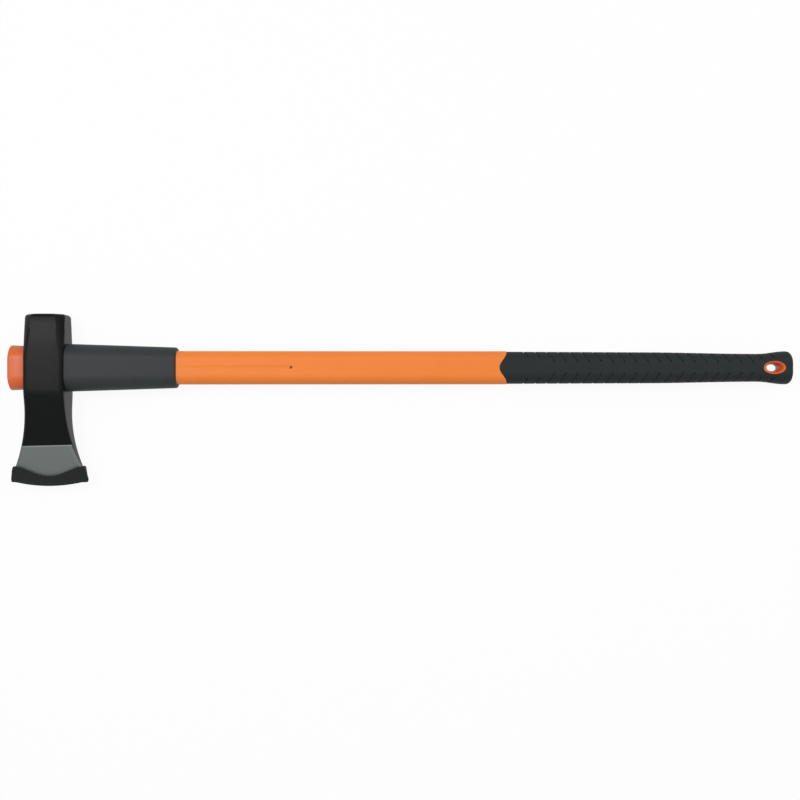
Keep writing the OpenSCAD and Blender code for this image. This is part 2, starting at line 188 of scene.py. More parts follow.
def flare(drop, waist, reach):
    """Half width of the head at a drop below the handle axis."""
    fall, out, below = FLARE_DROP - WAIST_DROP, reach - waist, drop - WAIST_DROP
    radius = (fall ** 2 + out ** 2) / (2 * out)
    if drop <= WEDGE_START:
        return HEAD_FACE
    if below <= 0:
        return mix(HEAD_FACE, waist, (drop - WEDGE_START) / (WAIST_DROP - WEDGE_START))
    if drop <= FLARE_DROP:
        return waist + radius - math.sqrt(radius ** 2 - below ** 2)
    depth = max(0, drop - EDGE_DROP + EDGE_CORNER)
    return reach - EDGE_CORNER + math.sqrt(max(0, EDGE_CORNER ** 2 - depth ** 2))


def forged(x, y, z):
    """Where a point of the straight eight-sided bar goes in the forging."""
    drop = -y
    # How far the rounded rim of the poll has come in
    up = max(0, y - POLL + POLL_RIM)
    inset = POLL_RIM - math.sqrt(max(0, POLL_RIM ** 2 - up ** 2))
    half = cheek(drop) - inset
    width = flare(drop, *((TOE_WAIST, TOE_REACH) if x < 0 else (HEEL_WAIST, HEEL_REACH))) - inset
    bevel = mix(SIDE_BEVEL, POLL_BEVEL, clamp((y - WEDGE_START / 2) / (POLL - WEDGE_START / 2)))
    bevel = min(bevel, 0.6 * half)

    def stretch(distance, before, after):
        if distance < SIDE_BEVEL:
            return distance * bevel / SIDE_BEVEL
        return bevel + (distance - SIDE_BEVEL) * (after - bevel) / (before - SIDE_BEVEL)

    new_x = width - stretch(HEAD_FACE - abs(x), HEAD_FACE, width)
    new_z = half - stretch(HALF_HEAD - abs(z), HALF_HEAD, half)
    # The cheeks are crowned a little between their bevels
    new_z *= 1 - CROWN * min(1, new_x / HEAD_FACE) ** 2 * clamp((100 - drop) / 60)
    new_x *= math.copysign(1, x)
    # The cutting edge is an arc, which the bit follows below the lip of the guard
    edge_x = (HEEL_REACH - TOE_REACH) / 2
    rise = EDGE_RADIUS - math.sqrt(EDGE_RADIUS ** 2 - (new_x - edge_x) ** 2)
    follow = clamp((drop - EDGE_DROP + ARC_HEIGHT) / ARC_HEIGHT)
    return new_x, y + follow * rise, math.copysign(new_z, z)


CROWN = 0.015
ARC_HEIGHT = 19.2
SOFT_EDGE = 0.55
COLUMNS = 16

head = block("head", (-HEAD_FACE, HEAD_FACE), (-WEDGE_START, 0), (-HALF_HEAD, HALF_HEAD))
pick_edges(1)
bpy.ops.mesh.bevel(offset=SIDE_BEVEL * MM, segments=1, affect="EDGES")
pick_edges(1)
bpy.ops.mesh.bevel(offset=SOFT_EDGE * MM, segments=2, affect="EDGES")
pick_edges(0)
bpy.ops.mesh.subdivide(number_cuts=COLUMNS - 1)
pick_edges(2)
bpy.ops.mesh.subdivide(number_cuts=5)
TURN = [math.radians(a) for a in range(0, 91, 15)]
pick(lambda x, y, z: y > -0.01)
for i in range(9):
    rise = mix(WEDGE_START / 2, POLL - POLL_RIM, i / 8)
    draw(y=(rise, rise))
for a in TURN[1:]:
    rise = POLL - POLL_RIM * (1 - math.sin(a))
    draw(y=(rise, rise))
drops = [WEDGE_START + WEDGE_BEND * i / 6 for i in range(1, 7)]
drops += [mix(WEDGE_START + WEDGE_BEND, FLARE_DROP, i / 22) for i in range(1, 23)]
drops += [EDGE_DROP - EDGE_CORNER * (1 - math.sin(a)) for a in TURN]
pick(lambda x, y, z: y < 0.01 - WEDGE_START)
for drop in drops:
    draw(y=(-drop, -drop))
# The sole is split from cheek to cheek, so that it can follow the arc of the edge
for column in range(1, COLUMNS):
    place = mix(-1, 1, column / COLUMNS) * (HEAD_FACE - SIDE_BEVEL - SOFT_EDGE)
    pick(lambda x, y, z: y < 0.01 - EDGE_DROP)
    bpy.ops.mesh.bisect(plane_co=middle + Vector((place * MM, 0, 0)), plane_no=(1, 0, 0))
bpy.ops.object.mode_set(mode="OBJECT")
reshape(head, forged)

# The eye is pierced right through, and its mouths are eased with a small chamfer
EYE_CHAMFER = 0.8
eye = block("eye", (EYE_CHAMFER - HEAD_FACE, HEAD_FACE - EYE_CHAMFER),
            (-EYE_HEIGHT / 2, EYE_HEIGHT / 2), (-EYE_THICKNESS / 2, EYE_THICKNESS / 2))
pick_edges(0)
bpy.ops.mesh.bevel(offset=(EYE_THICKNESS / 2 - 0.05) * MM, segments=20, affect="EDGES")
for side in (-1, 1):
    pick(lambda x, y, z: x * side > HEAD_FACE - EYE_CHAMFER - 0.01)
    for more in (EYE_CHAMFER, 2 * EYE_CHAMFER):
        x = side * (HEAD_FACE - EYE_CHAMFER + more)
        draw((x, x), (-EYE_HEIGHT / 2 - more, EYE_HEIGHT / 2 + more),
             (-EYE_THICKNESS / 2 - more, EYE_THICKNESS / 2 + more))
cut(head, eye)


def colour(code):
    """Turns an sRGB hex code into the linear colour that the shaders work in."""
    values = [int(code[i:i + 2], 16) / 255 for i in (1, 3, 5)]
    return (*[v / 12.92 if v <= 0.04045 else ((v + 0.055) / 1.055) ** 2.4 for v in values], 1)


def add(material, kind, settings=(), links=()):
    """Adds a node with its settings and the outputs that feed it."""
    node = material.node_tree.nodes.new(kind)
    for key, value in dict(settings).items():
        if isinstance(key, str) and key not in node.inputs:
            setattr(node, key, value)
        else:
            node.inputs[key].default_value = value
    for key, output in dict(links).items():
        material.node_tree.links.new(output, node.inputs[key])
    return node


def new_material(name, **settings):
    """Starts a material, and returns it with its shader and its place in the piece."""
    material = bpy.data.materials.new(name)
    material.use_nodes = True
    shader = material.node_tree.nodes["Principled BSDF"]
    for key, value in settings.items():
        shader.inputs[key.replace("_", " ")].default_value = value
    place = add(material, "ShaderNodeTexCoord").outputs["Object"]
    return material, shader, place


# Stove paint over a shot-blasted forging: a satin black with a fine orange peel over broad, shallow forging
# waves. The bit below it is ground steel with fine marks from the belt, and the paint ends in a masked line.
painted_forging, shader, place = new_material("painted_forging", Specular_IOR_Level=0.08)
axes = add(painted_forging, "ShaderNodeSeparateXYZ", links={"Vector": place})
# Height above the masked line, which rises a little from toe to heel
PAINT_DROP, PAINT_TILT = 88.7, 0.024
tilt = add(painted_forging, "ShaderNodeMath", {"operation": "MULTIPLY_ADD", 1: -PAINT_TILT,
           2: PAINT_DROP * MM - middle.y + PAINT_TILT * middle.x}, {0: axes.outputs["X"]})
height = add(painted_forging, "ShaderNodeMath", {"operation": "ADD"},
             {0: axes.outputs["Y"], 1: tilt.outputs[0]})
above = add(painted_forging, "ShaderNodeMapRange", {"From Min": -0.1 * MM, "From Max": 0.1 * MM},
            {"Value": height.outputs[0]})
# Only the cheeks are ground, so that the paint stays on the narrow sides of the bit
facing = add(painted_forging, "ShaderNodeSeparateXYZ",
             links={"Vector": add(painted_forging, "ShaderNodeTexCoord").outputs["Normal"]})
sideways = add(painted_forging, "ShaderNodeMath", {"operation": "ABSOLUTE"}, {0: facing.outputs["X"]})
side = add(painted_forging, "ShaderNodeMapRange", {"From Min": 0.72, "From Max": 0.8},
           {"Value": sideways.outputs[0]})
painted = add(painted_forging, "ShaderNodeMath", {"operation": "MAXIMUM"},
              {0: above.outputs[0], 1: side.outputs[0]})
# Painted shade and painted highlight along the masked line: the paint just above it takes a flat dark colour
# for the shade of the small step where the grinding starts, and the steel just below it is brighter for the
# light caught on the edge of the grinding
painted_shade_band = add(painted_forging, "ShaderNodeMapRange", {"From Min": 0.8 * MM, "From Max": 2.4 * MM},
               {"Value": height.outputs[0]})
painted_highlight_band = add(painted_forging, "ShaderNodeMapRange", {"From Min": -1.7 * MM, "From Max": -0.7 * MM},
             {"Value": height.outputs[0]})
mottle = add(painted_forging, "ShaderNodeTexNoise", {"Scale": 1 / (9 * MM), "Detail": 3},
             {"Vector": place})
paint_colour = add(painted_forging, "ShaderNodeMixRGB",
                   {"Color1": colour("#090a0a"), "Color2": colour("#0f1010")}, {"Fac": mottle.outputs["Fac"]})
# Painted shade: within about 2 mm above the line the paint takes one flat dark colour in place of its mottle
paint_with_painted_shade = add(painted_forging, "ShaderNodeMixRGB", {"Color1": colour("#0c0d0d")},
                 {"Fac": painted_shade_band.outputs[0], "Color2": paint_colour.outputs[0]})
# Belt marks run from the line to the edge, one about every 0.4 mm
belt = add(painted_forging, "ShaderNodeMapping",
           {"Scale": (1 / (0.4 * MM), 1 / (14 * MM), 1 / (0.4 * MM))}, {"Vector": place})
marks = add(painted_forging, "ShaderNodeTexNoise", {"Scale": 1, "Detail": 2}, {"Vector": belt.outputs[0]})
steel_colour = add(painted_forging, "ShaderNodeMixRGB",
                   {"Color1": colour("#5c6160"), "Color2": colour("#6c7170")}, {"Fac": marks.outputs["Fac"]})
# Painted highlight: within about 1.7 mm below the line the steel is mixed towards a lighter grey
steel_with_painted_highlight = add(painted_forging, "ShaderNodeMixRGB", {"Color2": colour("#7f8482")},
                   {"Fac": painted_highlight_band.outputs[0], "Color1": steel_colour.outputs[0]})
final_colour = add(painted_forging, "ShaderNodeMixRGB", links={
    "Fac": painted.outputs[0], "Color1": steel_with_painted_highlight.outputs[0], "Color2": paint_with_painted_shade.outputs[0]})
bare = add(painted_forging, "ShaderNodeMath", {"operation": "SUBTRACT", 0: 1.0}, {1: painted.outputs[0]})
gloss = add(painted_forging, "ShaderNodeMapRange", {"To Min": 0.5, "To Max": 0.36},
            {"Value": painted.outputs[0]})
peel = add(painted_forging, "ShaderNodeTexNoise", {"Scale": 1 / (0.9 * MM), "Detail": 2}, {"Vector": place})
waves = add(painted_forging, "ShaderNodeTexNoise", {"Scale": 1 / (14 * MM), "Detail": 1}, {"Vector": place})
grain = add(painted_forging, "ShaderNodeMixRGB", links={
    "Fac": painted.outputs[0], "Color1": marks.outputs["Fac"], "Color2": peel.outputs["Fac"]})
broad = add(painted_forging, "ShaderNodeBump", {"Strength": 0.5, "Distance": 0.25 * MM},
            {"Height": waves.outputs["Fac"]})
relief = add(painted_forging, "ShaderNodeBump", {"Strength": 0.35, "Distance": 0.03 * MM},
             {"Height": grain.outputs[0], "Normal": broad.outputs[0]})
for socket, output in (("Base Color", final_colour.outputs[0]), ("Metallic", bare.outputs[0]),
                       ("Roughness", gloss.outputs[0]), ("Normal", relief.outputs[0])):
    painted_forging.node_tree.links.new(output, shader.inputs[socket])
finish(head, "maul", "painted_forging", painted_forging, "maul_head")

# ---- Glass-fibre core ----
# A pultruded rod that carries the load from the plug to the hanging hole: glass rovings in clear polyester,
# pulled through a die and sawn to length. The jacket is moulded over it, so that only its solid is kept.

glass_fibre, shader, place = new_material("pultruded_glass_fibre", Roughness=0.38)
# Rovings run along the rod, about 0.6 mm wide
pulled = add(glass_fibre, "ShaderNodeMapping", {"Scale": (1 / (60 * MM), 1 / (0.6 * MM), 1 / (0.6 * MM))},
             {"Vector": place})
rovings = add(glass_fibre, "ShaderNodeTexNoise", {"Scale": 1, "Detail": 3}, {"Vector": pulled.outputs[0]})
tone = add(glass_fibre, "ShaderNodeMixRGB", {"Color1": colour("#c9c39c"), "Color2": colour("#ece8d0")},
           {"Fac": rovings.outputs["Fac"]})
fibres = add(glass_fibre, "ShaderNodeBump", {"Strength": 0.5, "Distance": 0.04 * MM},
             {"Height": rovings.outputs["Fac"]})
glass_fibre.node_tree.links.new(tone.outputs[0], shader.inputs["Base Color"])
glass_fibre.node_tree.links.new(fibres.outputs[0], shader.inputs["Normal"])
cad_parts["glass_fibre_core"].data.materials.clear()
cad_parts["glass_fibre_core"].data.materials.append(glass_fibre)

# ---- Eye resin ----
# Cast epoxy that fills the gap between the handle and the eye and bonds the two. It is poured from the toe
# side and sets glossy and amber, with small bubbles, and the plug then covers it.

epoxy, shader, place = new_material("cast_epoxy", Roughness=0.22, IOR=1.55)
bubbles = add(epoxy, "ShaderNodeTexVoronoi", {"Scale": 1 / (1.6 * MM)}, {"Vector": place})
depth = add(epoxy, "ShaderNodeMapRange", {"From Max": 0.35}, {"Value": bubbles.outputs["Distance"]})
tone = add(epoxy, "ShaderNodeMixRGB", {"Color1": colour("#e0c98e"), "Color2": colour("#b98f43")},
           {"Fac": depth.outputs[0]})
skin = add(epoxy, "ShaderNodeBump", {"Strength": 0.4, "Distance": 0.1 * MM}, {"Height": depth.outputs[0]})
epoxy.node_tree.links.new(tone.outputs[0], shader.inputs["Base Color"])
epoxy.node_tree.links.new(skin.outputs[0], shader.inputs["Normal"])
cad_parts["eye_resin"].data.materials.clear()
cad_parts["eye_resin"].data.materials.append(epoxy)

# ---- Handle jacket ----
# Orange polypropylene, moulded over the core in one shot. It fills the eye, thins to the handle behind it and
# runs on under the grip. Pins that centre the core in the mould leave a dimpled hole in either face.

CORNER = 13
EYE_FILL = 49, 33
EYE_STOP = span("handle_jacket", 0)[0]
NECK_TAPER = 30
JACKET = 38.4, 29.5
JACKET_END = 37.8, 29
BUTT = span("hand_grip", 0)[1]
GRIP_FRONT, GRIP_TONGUE = BUTT - 325.6, 8.5
STRAIGHT_END, NECK = BUTT - 170.6, BUTT - 38.1
GRIP, GRIP_MID, GRIP_NECK, GRIP_BUTT = (36.8, 28.4), (35.5, 28.4), (31.9, 27.6), (37.8, 33)
GRIP_WALL, BUTT_WALL = 2.5, 4
# Pieces that are moulded or pressed together are drawn this far apart
FREE = 0.1
BUTT_ROUND = 6.5
CORE_D = 18


def both_sides(length):
    return -length / 2, length / 2


def bar(name, x, height, thickness, corner=CORNER):
    """A bar along the handle with round long edges, whose flats can bend across."""
    piece = block(name, x, both_sides(height), both_sides(thickness))
    pick_edges(0)
    bpy.ops.mesh.bevel(offset=corner * MM, segments=10, affect="EDGES")
    pick_edges(1)
    bpy.ops.mesh.subdivide(number_cuts=9)
    return piece


def grow(x, height, thickness):
    """Extrudes the end of a bar to a new place and section."""
    draw((x, x), both_sides(height), both_sides(thickness))


def ease(t):
    return (1 - math.cos(math.pi * clamp(t))) / 2


def grip_size(x):
    """Height and thickness of the grip at a place along it."""
    if x < STRAIGHT_END:
        t = clamp((x - GRIP_FRONT) / (STRAIGHT_END - GRIP_FRONT))
        return mix(GRIP[0], GRIP_MID[0], t), mix(GRIP[1], GRIP_MID[1], t)
    start, end, t = ((GRIP_MID, GRIP_NECK, (x - STRAIGHT_END) / (NECK - STRAIGHT_END)) if x < NECK else
                     (GRIP_NECK, GRIP_BUTT, (x - NECK) / (BUTT - BUTT_ROUND - NECK)))
    return mix(start[0], end[0], ease(t)), mix(start[1], end[1], ease(t))


def tongue(y, half):
    """How far the joint between jacket and grip reaches forward at a height."""
    return GRIP_TONGUE * math.cos(math.pi / 2 * min(1, abs(y) / half)) ** 2


SEAM = 0.15
# The grip and what it covers narrow at the rounded butt by this share of their size
BUTT_NARROWS, SKIN_NARROWS = 0.42, 0.34
jacket = bar("jacket", (EYE_STOP, HEAD_FACE), *EYE_FILL)
pick(lambda x, y, z: x > HEAD_FACE - 0.01)
for i in range(1, 9):
    t = ease(i / 8)
    grow(HEAD_FACE + NECK_TAPER * i / 8, mix(EYE_FILL[0], JACKET[0], t), mix(EYE_FILL[1], JACKET[1], t))
for x in (290, 520):
    t = (x - HEAD_FACE) / (GRIP_FRONT - HEAD_FACE) if x < GRIP_FRONT - 10 else 0.97
    x = min(x, GRIP_FRONT - 14)
    grow(x, mix(JACKET[0], JACKET_END[0], t), mix(JACKET[1], JACKET_END[1], t))
# The end of the visible jacket: a soft corner, then the step down to the part that the grip covers
JOINT = GRIP_FRONT - SEAM
grow(JOINT - 0.3, *JACKET_END)
grow(JOINT, JACKET_END[0] - 0.5, JACKET_END[1] - 0.5)
covered = [(x, *[size - 2 * GRIP_WALL for size in grip_size(x)]) for x in
           [GRIP_FRONT + 20] + [mix(STRAIGHT_END, NECK, i / 8) for i in range(9)]
           + [mix(NECK, BUTT - BUTT_WALL - BUTT_ROUND, i / 5) for i in range(1, 6)]]
grow(JOINT, *covered[0][1:])
for station in covered:
    grow(*station)
for a in TURN[1:]:
    shrink = 1 - BUTT_NARROWS * (1 - math.cos(a))
    grow(BUTT - BUTT_WALL - BUTT_ROUND * (1 - math.sin(a)),
         (GRIP_BUTT[0] - 2 * GRIP_WALL) * shrink, (GRIP_BUTT[1] - 2 * GRIP_WALL) * shrink)
bpy.ops.object.mode_set(mode="OBJECT")
reshape(jacket, lambda x, y, z: (
    x - tongue(y, GRIP[0] / 2) if JOINT - 0.4 < x < JOINT + 0.01 else x, y, z))


def rod(name, x, diameter, sides=64):
    """A round rod along the handle."""
    bpy.ops.object.mode_set(mode="OBJECT")
    bpy.ops.mesh.primitive_cylinder_add(
        vertices=sides, radius=diameter / 2 * MM, depth=(x[1] - x[0]) * MM, rotation=(0, math.pi / 2, 0),
        location=middle + Vector((sum(x) / 2 * MM, 0, 0)))
    bpy.ops.object.transform_apply()
    bpy.context.object.name = name
    return bpy.context.object


CORE_END = span("glass_fibre_core", 0)[1]
cut(jacket, rod("core bore", (EYE_STOP - 5, CORE_END + FREE), CORE_D + 2 * FREE))

# The pins of the mould: a narrow hole with a dimple round it, in both faces
PIN_X, PIN_D, DIMPLE_D, DIMPLE_DEPTH = 279.6, 2.6, 5.2, 0.9
for side in (-1, 1):
    face = JACKET[1] / 2
    bpy.ops.mesh.primitive_cylinder_add(vertices=32, radius=PIN_D / 2 * MM, depth=8 * MM,
                                        location=middle + Vector((PIN_X, 0, side * (face - 5.2))) * MM)
    bpy.ops.object.transform_apply()
    pin = bpy.context.object
    bpy.ops.object.mode_set(mode="EDIT")
    pick(lambda x, y, z: z * side > face - 2)
    draw(z=(side * (face - DIMPLE_DEPTH),) * 2)
    for t in (0.25, 0.5, 0.75, 1, 1.6):
        size = mix(PIN_D, DIMPLE_D, t ** 1.6) / 2
        draw((PIN_X - size, PIN_X + size), (-size, size), (side * (face - DIMPLE_DEPTH * (1 - t)),) * 2)
    cut(jacket, pin)


def moulding(name, level, tones, cloud, roughness, grain):
    """A moulded plastic or rubber: two tones and a gloss that drift in soft clouds, and a fine grain.

    cloud holds the size and detail of the clouds, grain the size, strength and depth of the grain, in mm.
    """
    material, shader, place = new_material(name, Specular_IOR_Level=level)
    clouds = add(material, "ShaderNodeTexNoise", {"Scale": 1 / (cloud[0] * MM), "Detail": cloud[1]},
                 {"Vector": place})
    tone = add(material, "ShaderNodeMixRGB", {"Color1": colour(tones[0]), "Color2": colour(tones[1])},
               {"Fac": clouds.outputs["Fac"]})
    satin = add(material, "ShaderNodeMapRange", {"To Min": roughness[0], "To Max": roughness[1]},
                {"Value": clouds.outputs["Fac"]})
    texture = add(material, "ShaderNodeTexNoise", {"Scale": 1 / (grain[0] * MM), "Detail": 2},
                  {"Vector": place})
    bump = add(material, "ShaderNodeBump", {"Strength": grain[1], "Distance": grain[2] * MM},
               {"Height": texture.outputs["Fac"]})
    for socket, node in (("Base Color", tone), ("Roughness", satin), ("Normal", bump)):
        material.node_tree.links.new(node.outputs[0], shader.inputs[socket])
    return material


# Injection-moulded polypropylene: a bright, slightly waxy orange with a fine spark-eroded grain
polypropylene = moulding("orange_polypropylene", 0.25, ("#dd752a", "#e17d31"), cloud=(35, 2),
                         roughness=(0.4, 0.52), grain=(0.7, 0.25, 0.02))
finish(jacket, "maul", "orange_plastic", polypropylene, "handle_jacket")

# ---- Eye plug ----
# A deeper orange moulding with a domed end. It is pressed over the end of the core once the resin has set, and
# closes the eye on the toe side.

PLUG_END = span("eye_plug", 0)[0]
PLUG, PLUG_DOME = (51.5, 35.5), 4.3
PLUG_IN_EYE, SOCKET_END = (49.9, 34), -34.8
plug = bar("plug", (PLUG_END + PLUG_DOME, -HEAD_FACE), *PLUG, corner=15)
pick(lambda x, y, z: x > -HEAD_FACE - 0.01)
fit(y=both_sides(PLUG_IN_EYE[0]), z=both_sides(PLUG_IN_EYE[1]))
grow(EYE_STOP - FREE, *EYE_FILL)
pick(lambda x, y, z: x < PLUG_END + PLUG_DOME + 0.01)
for a in range(10, 91, 10):
    shrink = 1 - 0.85 * (1 - math.cos(math.radians(a)))
    grow(PLUG_END + PLUG_DOME * (1 - math.sin(math.radians(a))), PLUG[0] * shrink, PLUG[1] * shrink)
cut(plug, rod("core socket", (SOCKET_END, EYE_STOP + 5), CORE_D + 2 * FREE))

# The same polymer family as the jacket in a redder orange, with a little more gloss from a polished mould
deep_orange = moulding("deep_orange_plastic", 0.3, ("#c65a29", "#ce6432"), cloud=(20, 2),
                       roughness=(0.34, 0.46), grain=(0.7, 0.2, 0.02))
finish(plug, "maul", "deep_orange_plastic", deep_orange, "eye_plug")

# ---- Strike collar ----
# A black rubber sleeve on the first stretch of the handle, which takes the blows that land short of the head.
# It is moulded with a taper and pushed up the handle until it bears on the head.

COLLAR_START, COLLAR_END = span("strike_collar", 0)
COLLAR, COLLAR_TIP, COLLAR_ROUND = (54.7, 40), (46.7, 35), 3
collar = bar("collar", (COLLAR_START, mix(COLLAR_START, COLLAR_END, 0.5)), *COLLAR, corner=17)
pick(lambda x, y, z: x > COLLAR_START + 1)
fit(y=both_sides(mix(COLLAR[0], COLLAR_TIP[0], 0.5)), z=both_sides(mix(COLLAR[1], COLLAR_TIP[1], 0.5)))
for a in TURN:
    inset = COLLAR_ROUND * (1 - math.cos(a))
    grow(COLLAR_END - COLLAR_ROUND * (1 - math.sin(a)), COLLAR_TIP[0] - 2 * inset, COLLAR_TIP[1] - 2 * inset)
MOUTH = 0.2
grow(COLLAR_END, JACKET[0] + 2 * MOUTH + 0.6, JACKET[1] + 2 * MOUTH + 0.6)
grow(COLLAR_END - 0.8, JACKET[0] + 2 * MOUTH, JACKET[1] + 2 * MOUTH)
for i in range(8, -1, -1):
    t = ease(i / 8)
    grow(HEAD_FACE + 0.1 + NECK_TAPER * i / 8, mix(EYE_FILL[0], JACKET[0], t) + 2 * MOUTH,
         mix(EYE_FILL[1], JACKET[1], t) + 2 * MOUTH)
pick(lambda x, y, z: x < COLLAR_START + 0.01)
bpy.ops.mesh.delete(type="FACE")
pick(lambda x, y, z: x < COLLAR_START + 0.01)
bpy.ops.mesh.bridge_edge_loops()

# Carbon-black rubber: dull and very slightly blue, with a fine blasted mould grain
collar_rubber = moulding("moulded_black_rubber", 0.2, ("#26292a", "#2c2f30"), cloud=(12, 3),
                         roughness=(0.48, 0.6), grain=(0.6, 0.4, 0.04))
finish(collar, "maul", "collar_rubber", collar_rubber, "strike_collar")

# ---- Hand grip ----
# A soft thermoplastic rubber, moulded over the butt end of the jacket. Slanting grooves run in from both edges
# to a plain band, its front ends in a tongue, and it flares at the butt so that the hand can't slip off.

GROOVES, GROOVE_PITCH, GROOVE_START = 22, 13.3, 28
GROOVE_DEPTH = 0.9
SLANT = 1 / math.tan(math.radians(56))
BAND = 11.4
GRIP_CORNER = (GRIP[0] - BAND) / 2 - 0.05

first = GRIP_FRONT + GROOVE_START - GROOVE_PITCH / 2
grip = bar("grip", (first, first + GROOVE_PITCH), *GRIP, corner=GRIP_CORNER)
pick(lambda x, y, z: x < first + 0.01)
bpy.ops.mesh.delete(type="FACE")
pick(lambda x, y, z: x > first + GROOVE_PITCH - 0.01)
bpy.ops.mesh.delete(type="FACE")
# Rings across one groove: how far from its middle, and what share of its depth
GROOVE_RINGS = ((-1.5, 0), (-0.9, 0.08), (-0.6, 0.8), (-0.2, 1), (0.2, 1), (0.6, 0.8), (0.9, 0.08), (1.5, 0))
for offset, share in GROOVE_RINGS:
    bpy.ops.mesh.select_all(action="SELECT")
    bpy.ops.mesh.bisect(plane_co=middle + Vector(((first + GROOVE_PITCH / 2 + offset) * MM, 0, 0)),
                        plane_no=(1, 0, 0))
bpy.ops.object.mode_set(mode="OBJECT")
row = grip.modifiers.new("Row", "ARRAY")
row.count, row.use_relative_offset, row.use_constant_offset = GROOVES, False, True
row.constant_offset_displace = (GROOVE_PITCH * MM, 0, 0)
row.use_merge_vertices, row.merge_threshold = True, 0.01 * MM
bpy.ops.object.modifier_apply(modifier=row.name)
bpy.ops.object.mode_set(mode="EDIT")
last = first + GROOVES * GROOVE_PITCH


def groove_reach(x):
    """Where a groove starts outside the plain band: the end ones stay short."""
    groove = int((x - first) / GROOVE_PITCH)
    return BAND / 2 + (0.4 if 1 < groove < GROOVES - 2 else 6)


for offset, share in GROOVE_RINGS:
    if share:
        pick(lambda x, y, z: first < x < last and abs(y) > groove_reach(x) and
             abs((x - first) % GROOVE_PITCH - GROOVE_PITCH / 2 - offset) < 0.02)
        bpy.ops.transform.shrink_fatten(value=-share * GROOVE_DEPTH * MM)

# The butt
pick(lambda x, y, z: x > last - 0.01)
for i in range(1, 4):
    grow(mix(last, BUTT - BUTT_ROUND, i / 3), *GRIP)
for a in range(10, 91, 10):
    shrink = 1 - SKIN_NARROWS * (1 - math.cos(math.radians(a)))
    grow(BUTT - BUTT_ROUND * (1 - math.sin(math.radians(a))), GRIP[0] * shrink, GRIP[1] * shrink)
bpy.ops.mesh.edge_face_add()
# The front, down to the tongued joint
pick(lambda x, y, z: x < first + 0.01)
for x in (14, 8, 3, 0.35):
    grow(GRIP_FRONT + x, *GRIP)
grow(GRIP_FRONT, GRIP[0] - 0.7, GRIP[1] - 0.7)
bpy.ops.object.mode_set(mode="OBJECT")


def moulded(x, y, z):
    """Slants the rings into chevrons, gives the front its tongue, and swells the butt."""
    slant = min(clamp((x - GRIP_FRONT - 3) / (first - GRIP_FRONT - 3)),
                clamp((BUTT - BUTT_ROUND - x) / (BUTT - BUTT_ROUND - last)))
    forward = clamp(1 - (x - GRIP_FRONT) / 14) * tongue(y, GRIP[0] / 2)
    x -= forward + slant * SLANT * max(0, abs(y) - BAND / 2)
    height, thickness = grip_size(x)
    return x, y * height / GRIP[0], z * thickness / GRIP[1]


reshape(grip, moulded)
# From its open front the grip is hollowed out, to take the jacket
bpy.ops.object.mode_set(mode="EDIT")
bpy.ops.mesh.select_mode(type="EDGE")
bpy.ops.mesh.select_all(action="DESELECT")
bpy.ops.mesh.select_non_manifold()
HOLLOW = 2 * (GRIP_WALL - FREE)
draw(None, both_sides(GRIP[0] - HOLLOW), both_sides(GRIP[1] - HOLLOW))
for i in range(1, 21):
    x = mix(GRIP_FRONT, BUTT - BUTT_WALL - BUTT_ROUND, i / 20)
    grow(x, *[size - HOLLOW for size in grip_size(x)])
for a in TURN[1:]:
    shrink = 1 - BUTT_NARROWS * (1 - math.cos(a))
    grow(BUTT - BUTT_WALL + FREE - BUTT_ROUND * (1 - math.sin(a)),
         (GRIP_BUTT[0] - HOLLOW) * shrink, (GRIP_BUTT[1] - HOLLOW) * shrink)
bpy.ops.mesh.edge_face_add()
bpy.ops.object.mode_set(mode="OBJECT")

# The hanging hole goes through grip and jacket alike, a wall wider than the mouth of its eyelet
HOLE_X = BUTT - 21.8
MOUTH_LENGTH, MOUTH_HEIGHT, EYELET_WALL = 23, 13.4, 0.8


def oval(name, wall):
    """A straight oval plug through the butt."""
    bpy.ops.mesh.primitive_cylinder_add(vertices=64)
    bpy.context.object.name = name
    bpy.ops.object.mode_set(mode="EDIT")
    half = MOUTH_LENGTH / 2 + wall
    fit((HOLE_X - half, HOLE_X + half), both_sides(MOUTH_HEIGHT + 2 * wall), (-50, 50))
    bpy.ops.object.mode_set(mode="OBJECT")
    return bpy.context.object


for piece in (jacket, grip):
    cut(piece, oval("hole", EYELET_WALL + FREE))

# Soft rubber with a fine blasted mould grain: nearly black, a little blue, dull
grip_rubber = moulding("moulded_grip_rubber", 0.12, ("#1d2223", "#23282a"), cloud=(15, 3),
                       roughness=(0.5, 0.64), grain=(0.6, 0.5, 0.05))
finish(grip, "maul", "grip_rubber", grip_rubber, "hand_grip")

# ---- Hanging eyelet ----
# A lining in the deep orange of the plug. It is pressed through the butt, narrow at the middle and flared to a
# mouth in either face, so that a peg or a cord runs in from both sides.

EYELET_SINK = 0.5
THROAT_LENGTH, THROAT_HEIGHT = 14, 7.8
FACE = 15


def grip_face(x, y):
    """Height of the face of the grip over the middle plane."""
    height, thickness = grip_size(x)
    corner = GRIP_CORNER / GRIP[0] * height
    past = clamp((abs(y) - height / 2 + corner) / corner)
    return thickness / 2 - GRIP_CORNER / GRIP[1] * thickness * (1 - math.sqrt(1 - past ** 2))


bpy.ops.mesh.primitive_circle_add(vertices=64)
eyelet = bpy.context.object
eyelet.name = eyelet.data.name = "eyelet"
bpy.ops.object.mode_set(mode="EDIT")
bpy.ops.mesh.select_all(action="SELECT")
fit((HOLE_X - THROAT_LENGTH / 2, HOLE_X + THROAT_LENGTH / 2), both_sides(THROAT_HEIGHT), (0, 0))


def hoop(z, length, height):
    """Draws the wall of the eyelet on to its next oval."""
    draw((HOLE_X - length / 2, HOLE_X + length / 2), both_sides(height), (z, z))


